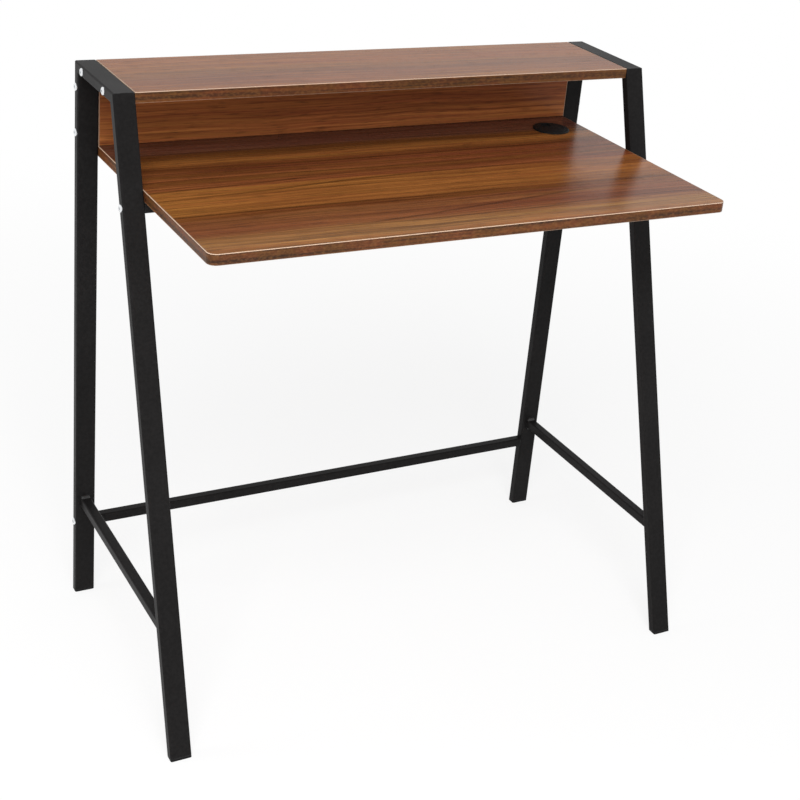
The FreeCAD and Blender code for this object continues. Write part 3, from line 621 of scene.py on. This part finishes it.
def powder_coat(name, metal, roughness, shine):
    """Satin powder coat: orange peel, fine speckle, slow tone drift and a lighter tone along the arrises,
    partly rubbed wear and partly a painted highlight.
    """
    material, tree, shader = start_material(name)
    parts = object_parts(tree)
    drift = even_noise(tree, parts, COAT_DRIFT_SCALE, seed=1.0)
    peel = even_noise(tree, parts, COAT_PEEL_SCALE, seed=2.0)
    rub = even_noise(tree, parts, COAT_RUB_SCALE, seed=3.0)
    speckle = even_noise(tree, parts, COAT_SPECKLE_SCALE, seed=4.0)
    rubbed = remap(tree, rub, *COAT_RUB_NOISE, *COAT_RUB_SHARE)
    # Arris mask: partly rubbed wear, partly a painted highlight
    wear_and_highlight = calc(tree, "MULTIPLY", edge_mask(tree, COAT_ARRIS), rubbed)
    base = blend(tree, wear_and_highlight, opaque(metal.paint), opaque(metal.paint_wear_highlight))
    cloud = spread(tree, drift, *COAT_DRIFT_SHADE)
    shade = calc(tree, "MULTIPLY", cloud, spread(tree, speckle, *COAT_SPECKLE_SHADE))
    colour = shaded(tree, base, shade)
    gloss = spread(tree, drift, roughness - COAT_GLOSS_DRIFT, roughness + COAT_GLOSS_DRIFT)
    relief = bump(tree, peel, COAT_RELIEF, COAT_BUMP)
    wire(tree, shader, Base_Color=colour, Roughness=gloss, Normal=relief)
    wire(tree, shader, Specular_IOR_Level=shine)
    return material


def plated(name, colour, roughness, seed):
    """Plated or bare metal with fine turning scratches, dull patches and brighter rubbed edges."""
    material, tree, shader = start_material(name)
    parts = object_parts(tree)
    scratch = stretched_noise(tree, parts, SCRATCH_SCALES, SCRATCH_DETAIL, seed)
    patch = even_noise(tree, parts, PATCH_SCALE, seed + 2)
    rubbed = calc(tree, "MULTIPLY", edge_mask(tree, METAL_ARRIS), METAL_RUBBING)
    tint = shaded(tree, opaque(colour), calc(tree, "ADD", spread(tree, patch, *PATCH_SHADE), rubbed))
    gloss = spread(tree, patch, roughness - PATCH_GLOSSIER, roughness + PATCH_DULLER)
    relief = bump(tree, scratch, METAL_RELIEF, METAL_BUMP)
    wire(tree, shader, Base_Color=tint, Metallic=1.0, Roughness=gloss, Normal=relief)
    return material


def moulded(name, plastic, seed):
    """Moulded plastic with a fine spark-eroded grain and a rubbed tone along its rims."""
    material, tree, shader = start_material(name)
    parts = object_parts(tree)
    grain = even_noise(tree, parts, GRAIN_SCALE, seed)
    cloud = even_noise(tree, parts, CLOUD_SCALE, seed + 2)
    rubbed = calc(tree, "MULTIPLY", edge_mask(tree, PLASTIC_ARRIS), PLASTIC_RUBBING)
    shade = calc(tree, "ADD", spread(tree, cloud, *CLOUD_SHADE), rubbed)
    tint = shaded(tree, opaque(plastic.plastic), shade)
    gloss = spread(tree, cloud, plastic.gloss - CLOUD_GLOSSIER, plastic.gloss + CLOUD_DULLER)
    relief = bump(tree, grain, PLASTIC_RELIEF, PLASTIC_BUMP)
    wire(tree, shader, Base_Color=tint, Roughness=gloss, Normal=relief)
    wire(tree, shader, Specular_IOR_Level=PLASTIC_SHINE)
    return material


def finish_nodes(material, *names):
    """Give the named pieces of the frame a finish."""
    for name in names:
        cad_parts[name].material_slots[0].material = material


def span_of(node, axis):
    """Lowest and highest place of a piece along one axis."""
    low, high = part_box(node)
    return low[axis], high[axis]


def new_piece(name, mesh_builder, material, body):
    """Object made from a bmesh, smooth shaded with its hard edges kept, riding on a body."""
    mesh = bpy.data.meshes.new(name)
    mesh_builder.normal_update()
    mesh_builder.to_mesh(mesh)
    mesh_builder.free()
    for polygon in mesh.polygons:
        polygon.use_smooth = True
    mesh.set_sharp_from_angle(angle=HARD_EDGE)
    mesh.materials.append(material)
    piece = bpy.data.objects.new(name, mesh)
    bpy.context.collection.objects.link(piece)
    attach(piece, body)
    return piece


def order_corner(points):
    """Corner point first, then the two toes: the corner lies opposite the longest side."""
    lengths = [(points[(i + 1) % 3] - points[(i + 2) % 3]).length for i in range(3)]
    first = lengths.index(max(lengths))
    toes = sorted((points[(first + 1) % 3], points[(first + 2) % 3]), key=lambda p: p.y)
    return (points[first], *toes)


def bead_corners(node):
    """Corner and two toes at both ends of each weld seam of a node, the seams in order of their place."""
    source = bmesh.new()
    source.from_mesh(node.data)
    bmesh.ops.remove_doubles(source, verts=source.verts, dist=WELD_GAP)
    waiting = set(source.verts)
    seams = []
    while waiting:
        island = {waiting.pop()}
        front = list(island)
        while front:
            vertex = front.pop()
            for edge in vertex.link_edges:
                other = edge.other_vert(vertex)
                if other in waiting:
                    waiting.discard(other)
                    island.add(other)
                    front.append(other)
        if len(island) < SEAM_POINTS:
            raise RuntimeError(f"{node.name} has a weld seam without two ends")
        points = sorted((v.co.copy() for v in island), key=tuple)
        seams.append((order_corner(points[:3]), order_corner(points[-3:])))
    source.free()
    if not seams:
        raise RuntimeError(f"{node.name} has no weld seam")
    return sorted(seams, key=lambda seam: tuple(seam[0][0]))


def add_bead(builder, seam, metal):
    """Convex weld bead along one seam, with crescent ripples and ends that run over the tube's arrises."""
    ripples = metal.bead_ripples
    stations = BEAD_STATIONS * ripples
    start, end = seam
    along = (end[0] - start[0]).normalized()
    length = (end[0] - start[0]).length
    reach = length + 2 * metal.bead_overrun
    rings = []
    for i in range(stations + 1):
        u = i / stations
        place = u * reach - metal.bead_overrun
        past = max(-place, place - length, 0.0)
        sag = TUBE_ARRIS - math.sqrt(TUBE_ARRIS**2 - min(past, TUBE_ARRIS) ** 2)
        taper = math.sqrt(1 - abs(2 * u - 1) ** BEAD_BLUNTNESS)
        corner, low, high = (point + along * place for point in start)
        outward = ((low + high) / 2 - corner).normalized()
        ring = [builder.verts.new(corner - outward * sag)]
        for j in range(BEAD_STEPS + 1):
            t = j / BEAD_STEPS
            arch = math.sin(math.pi * t)
            crest = abs(math.sin(math.pi * (ripples * u + BEAD_CRESCENT * arch)))
            swell = metal.bead_bulge * arch * (BEAD_VALLEY + (1 - BEAD_VALLEY) * crest)
            toe = corner.lerp(low.lerp(high, t), BEAD_END_WIDTH + (1 - BEAD_END_WIDTH) * taper)
            ring.append(builder.verts.new(toe + outward * (swell * taper - sag)))
        rings.append(ring)
    for first, second in zip(rings, rings[1:]):
        count = len(first)
        for k in range(count):
            after = (k + 1) % count
            builder.faces.new((first[k], first[after], second[after], second[k]))
    builder.faces.new(reversed(rings[0]))
    builder.faces.new(rings[-1])


class DESK_OT_steel_frame(bpy.types.Operator):
    """Powder coat the legs, bars, stretchers and rail"""

    bl_idname = "desk.steel_frame"
    bl_label = "Steel frame"

    def execute(self, context):
        metal = context.scene.desk_metal
        coat = powder_coat("powder_coat", metal, metal.paint_gloss, PAINT_SHINE)
        tubes = ("front_leg", "rear_leg", "top_bar", "side_stretcher")
        finish_nodes(coat, *(f"{side}_{tube}" for side in SIDES for tube in tubes))
        finish_nodes(coat, "front_cross_rail", "rear_cross_stretcher")
        return {"FINISHED"}


class DESK_OT_weld_beads(bpy.types.Operator):
    """Lay rippled weld beads where the side stretchers meet the legs"""

    bl_idname = "desk.weld_beads"
    bl_label = "Weld beads"

    def execute(self, context):
        metal = context.scene.desk_metal
        coat = powder_coat("coated_bead", metal, BEAD_GLOSS_SHARE * metal.paint_gloss, BEAD_SHINE)
        for side in SIDES:
            node = f"{side}_weld_beads"
            builder = bmesh.new()
            for seam in bead_corners(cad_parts[node]):
                add_bead(builder, seam, metal)
            bmesh.ops.recalc_face_normals(builder, faces=builder.faces)
            beads = new_piece(f"{side}_rippled_beads", builder, coat, DESK_BODY)
            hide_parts(node)
            finish_nodes(coat, node)
        return {"FINISHED"}


class DESK_OT_boards(bpy.types.Operator):
    """Lay the wood print on the desktop, the shelf and the back board"""

    bl_idname = "desk.boards"
    bl_label = "Boards"

    def execute(self, context):
        wood = context.scene.desk_wood
        for place, board in enumerate(BOARDS):
            span = span_of(board.node, board.across_axis)
            finish_nodes(laminate(board, wood, span, BOARD_SEED_STEP * place), board.node)
        return {"FINISHED"}


class DESK_OT_edge_bands(bpy.types.Operator):
    """Band the edges of the three boards, with the pale trimmed line along the arris"""

    bl_idname = "desk.edge_bands"
    bl_label = "Edge bands"

    def execute(self, context):
        wood = context.scene.desk_wood
        board_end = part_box("back_board")[1].x - MM
        for place, band in enumerate(BANDS):
            span = span_of(band.node, band.thin_axis)
            trimmed_from = board_end if band.ends_only else ALL_ROUND
            seed = BAND_SEED + BAND_SEED_STEP * place
            finish_nodes(edge_band(band, wood, span, trimmed_from, seed), band.node)
        return {"FINISHED"}


class DESK_OT_bolts(bpy.types.Operator):
    """Plate the bolts whose heads show on the outer faces of the frames"""

    bl_idname = "desk.bolts"
    bl_label = "Bolts"

    def execute(self, context):
        bolts = ("shelf_bolts", "back_board_bolts", "front_rail_bolts", "rear_stretcher_bolts")
        zinc = plated("bright_zinc", context.scene.desk_metal.zinc, roughness=0.22, seed=80.0)
        finish_nodes(zinc, *bolts)
        return {"FINISHED"}


class DESK_OT_nuts(bpy.types.Operator):
    """Finish the barrel nuts of the boards and the threaded inserts of the square tubes"""

    bl_idname = "desk.nuts"
    bl_label = "Nuts and inserts"

    def execute(self, context):
        nuts = ("shelf_barrel_nuts", "back_board_barrel_nuts", "front_rail_inserts", "rear_stretcher_inserts")
        steel = plated("nut_steel", context.scene.desk_metal.steel, roughness=0.34, seed=84.0)
        finish_nodes(steel, *nuts)
        return {"FINISHED"}


class DESK_OT_screws(bpy.types.Operator):
    """Finish the screws that hold the desktop"""

    bl_idname = "desk.screws"
    bl_label = "Screws"

    def execute(self, context):
        steel = plated("screw_steel", context.scene.desk_metal.steel, roughness=0.30, seed=88.0)
        finish_nodes(steel, "rail_screws", "back_board_screws")
        return {"FINISHED"}


class DESK_OT_grommet(bpy.types.Operator):
    """Finish the liner of the cable hole and its turning cap"""

    bl_idname = "desk.grommet"
    bl_label = "Grommet"

    def execute(self, context):
        plastic = moulded("grommet_plastic", context.scene.desk_plastic, seed=90.0)
        finish_nodes(plastic, "grommet_liner", "grommet_cap")
        return {"FINISHED"}


class DESK_OT_foot_plugs(bpy.types.Operator):
    """Finish the plugs that close the legs"""

    bl_idname = "desk.foot_plugs"
    bl_label = "Foot plugs"

    def execute(self, context):
        plugs = [f"{side}_{end}_foot_plug" for side in SIDES for end in ("front", "rear")]
        finish_nodes(moulded("plug_plastic", context.scene.desk_plastic, seed=94.0), *plugs)
        return {"FINISHED"}


def seen_ray(tree):
    """One for rays that come from the camera or from a glossy or clear surface."""
    path = put(tree, "LightPath")
    shiny = calc(tree, "MAXIMUM", path.outputs["Is Glossy Ray"], path.outputs["Is Transmission Ray"])
    return calc(tree, "MAXIMUM", path.outputs["Is Camera Ray"], shiny)


def floor_material(stage):
    """Pale floor that reads white and keeps a soft shadow."""
    material = bpy.data.materials.new("studio_floor")
    material.use_nodes = True
    tree = material.node_tree
    tree.nodes.clear()
    matt = put(tree, "BsdfDiffuse", {"Color": opaque(stage.floor)}).outputs[0]
    glow = put(tree, "Emission", {"Color": opaque(stage.floor), "Strength": 1.0}).outputs[0]
    place = put(tree, "TexCoord").outputs["Object"]
    reach = put(tree, "VectorMath", {0: place}, operation="LENGTH").outputs["Value"]
    glowing = remap(tree, reach, FLOOR_NEAR, FLOOR_FAR, FLOOR_NEAR_GLOW, 1.0)
    share = calc(tree, "MULTIPLY", seen_ray(tree), glowing)
    mixed = put(tree, "MixShader", {0: share, 1: matt, 2: glow}).outputs[0]
    put(tree, "OutputMaterial", {"Surface": mixed})
    return material


def lay_floor(stage):
    """Large square floor under the desk."""
    mesh = bpy.data.meshes.new("studio_floor")
    corners = [(x * FLOOR_HALF, y * FLOOR_HALF, 0.0) for x, y in ((-1, -1), (1, -1), (1, 1), (-1, 1))]
    mesh.from_pydata(corners, [], [(0, 1, 2, 3)])
    mesh.materials.append(floor_material(stage))
    floor = bpy.data.objects.new("studio_floor", mesh)
    bpy.context.collection.objects.link(floor)


def room_light(stage):
    """Even room light that reads white behind the desk."""
    world = bpy.data.worlds.new("studio_room")
    world.use_nodes = True
    tree = world.node_tree
    tree.nodes.clear()
    strength = remap(tree, seen_ray(tree), 0.0, 1.0, stage.fill, 1.0)
    room = put(tree, "Background", {"Color": opaque(stage.floor), "Strength": strength}).outputs[0]
    put(tree, "OutputWorld", {"Surface": room})
    return world


def soft_light(lamp, power):
    """Large square area light aimed at a point, kept out of reflections so that it leaves no glare."""
    light = bpy.data.lights.new(lamp.name, "AREA")
    light.shape = "SQUARE"
    light.size = lamp.size
    light.energy = power
    piece = bpy.data.objects.new(lamp.name, light)
    piece.location = lamp.place
    piece.visible_glossy = False
    piece.rotation_euler = (Vector(lamp.target) - Vector(lamp.place)).to_track_quat("-Z", "Y").to_euler()
    bpy.context.collection.objects.link(piece)


def camera_matrix():
    """Camera placed by its heading, its tilt down and its roll."""
    flat = math.cos(CAMERA_PITCH)
    ahead = Vector((math.sin(CAMERA_YAW) * flat, math.cos(CAMERA_YAW) * flat, -math.sin(CAMERA_PITCH)))
    level = Vector((math.cos(CAMERA_YAW), -math.sin(CAMERA_YAW), 0))
    upright = level.cross(ahead)
    right = level * math.cos(CAMERA_ROLL) + upright * math.sin(CAMERA_ROLL)
    up = upright * math.cos(CAMERA_ROLL) - level * math.sin(CAMERA_ROLL)
    turn = Matrix((right, up, -ahead)).transposed().to_4x4()
    return Matrix.Translation(CAMERA_PLACE) @ turn


def new_camera(lens):
    """Camera at the photograph's viewing angle."""
    camera = bpy.data.cameras.new("camera")
    camera.sensor_width = SENSOR_WIDTH
    camera.lens = lens
    camera.shift_x, camera.shift_y = CAMERA_SHIFT
    view = bpy.data.objects.new("camera", camera)
    view.matrix_world = camera_matrix()
    bpy.context.collection.objects.link(view)
    return view


class DESK_OT_stage(bpy.types.Operator):
    """Set the floor, the light and the camera"""

    bl_idname = "desk.stage"
    bl_label = "Stage"

    def execute(self, context):
        scene = context.scene
        stage = scene.desk_stage
        lay_floor(stage)
        scene.world = room_light(stage)
        for lamp in LAMPS:
            soft_light(lamp, getattr(stage, lamp.power))
        scene.camera = new_camera(stage.lens)
        scene.view_settings.view_transform = "Standard"
        return {"FINISHED"}


OPERATORS = (
    DESK_OT_steel_frame,
    DESK_OT_weld_beads,
    DESK_OT_boards,
    DESK_OT_edge_bands,
    DESK_OT_bolts,
    DESK_OT_nuts,
    DESK_OT_screws,
    DESK_OT_grommet,
    DESK_OT_foot_plugs,
    DESK_OT_stage,
)
SETTINGS = {
    "desk_wood": DeskWood,
    "desk_metal": DeskMetal,
    "desk_plastic": DeskPlastic,
    "desk_stage": DeskStage,
}


class DESK_PT_panel(bpy.types.Panel):
    """Settings and steps of the desk"""

    bl_idname = "DESK_PT_panel"
    bl_label = "Computer desk"
    bl_space_type = "VIEW_3D"
    bl_region_type = "UI"
    bl_category = "Desk"

    def draw(self, context):
        for attribute in SETTINGS:
            group = getattr(context.scene, attribute)
            box = self.layout.box()
            for setting in group.bl_rna.properties:
                if setting.identifier not in ("rna_type", "name"):
                    box.prop(group, setting.identifier)
        for operator in OPERATORS:
            self.layout.operator(operator.bl_idname)


def register():
    """Add the settings, the steps and the panel."""
    for attribute, group in SETTINGS.items():
        bpy.utils.register_class(group)
        setattr(bpy.types.Scene, attribute, PointerProperty(type=group))
    for operator in OPERATORS:
        bpy.utils.register_class(operator)
    bpy.utils.register_class(DESK_PT_panel)


def unregister():
    """Take the panel, the steps and the settings away again."""
    bpy.utils.unregister_class(DESK_PT_panel)
    for operator in reversed(OPERATORS):
        bpy.utils.unregister_class(operator)
    for attribute, group in SETTINGS.items():
        delattr(bpy.types.Scene, attribute)
        bpy.utils.unregister_class(group)


def main():
    """Build the looks in order."""
    register()
    bpy.ops.desk.steel_frame()
    bpy.ops.desk.weld_beads()
    bpy.ops.desk.boards()
    bpy.ops.desk.edge_bands()
    bpy.ops.desk.bolts()
    bpy.ops.desk.nuts()
    bpy.ops.desk.screws()
    bpy.ops.desk.grommet()
    bpy.ops.desk.foot_plugs()
    bpy.ops.desk.stage()


if __name__ == "__main__":
    main()
